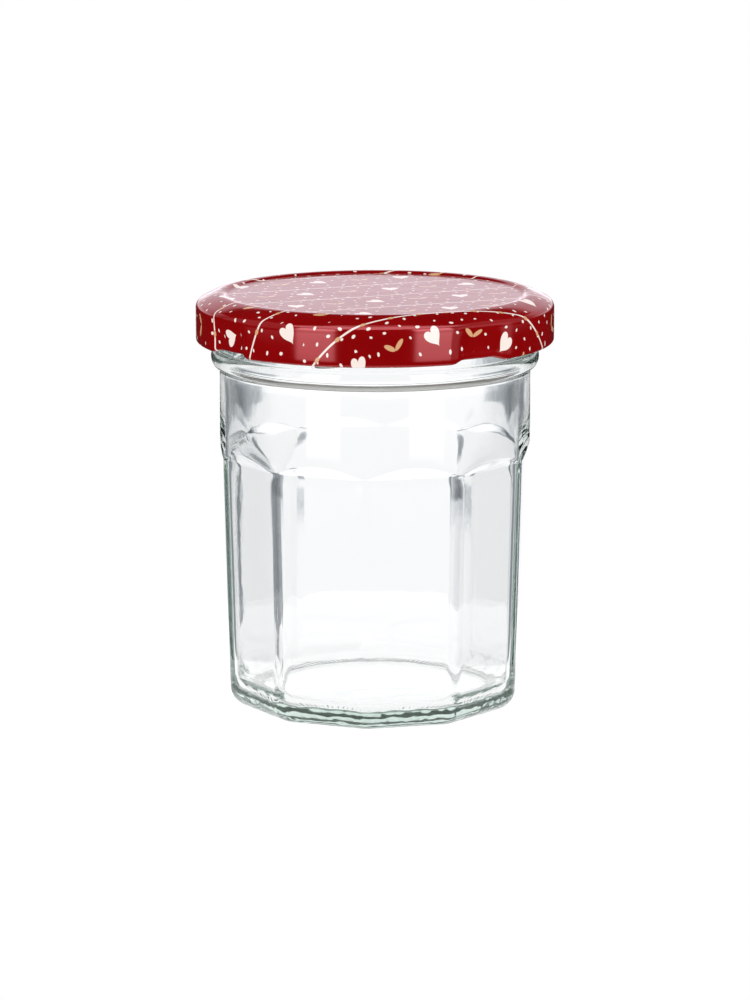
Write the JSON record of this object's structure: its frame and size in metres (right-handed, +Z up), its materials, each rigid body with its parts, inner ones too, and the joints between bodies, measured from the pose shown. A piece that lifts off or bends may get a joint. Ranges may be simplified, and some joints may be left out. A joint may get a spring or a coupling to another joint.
{
  "type": "empty lidded glass jam jar",
  "caption": "Empty faceted clear glass jam jar with arched flats, a rounded bead and a red patterned twist-off tin lid screwed on.",
  "frame": {"origin": "centre of the base on the surface that the jar stands on", "axes": "+Z up along the jar's axis, -Y towards the front as pictured, +X to the viewer's right"},
  "size_m": [0.085, 0.085, 0.099],
  "materials": {
    "clear_glass": "clear container glass, faintly green where it is thick",
    "lacquered_tin": "glossy red lacquer with a small cream and tan print, pale lacquer and lining inside"
  },
  "bodies": {
    "root": {"jar": "clear_glass", "lid": "lacquered_tin"}
  },
  "joints": []
}
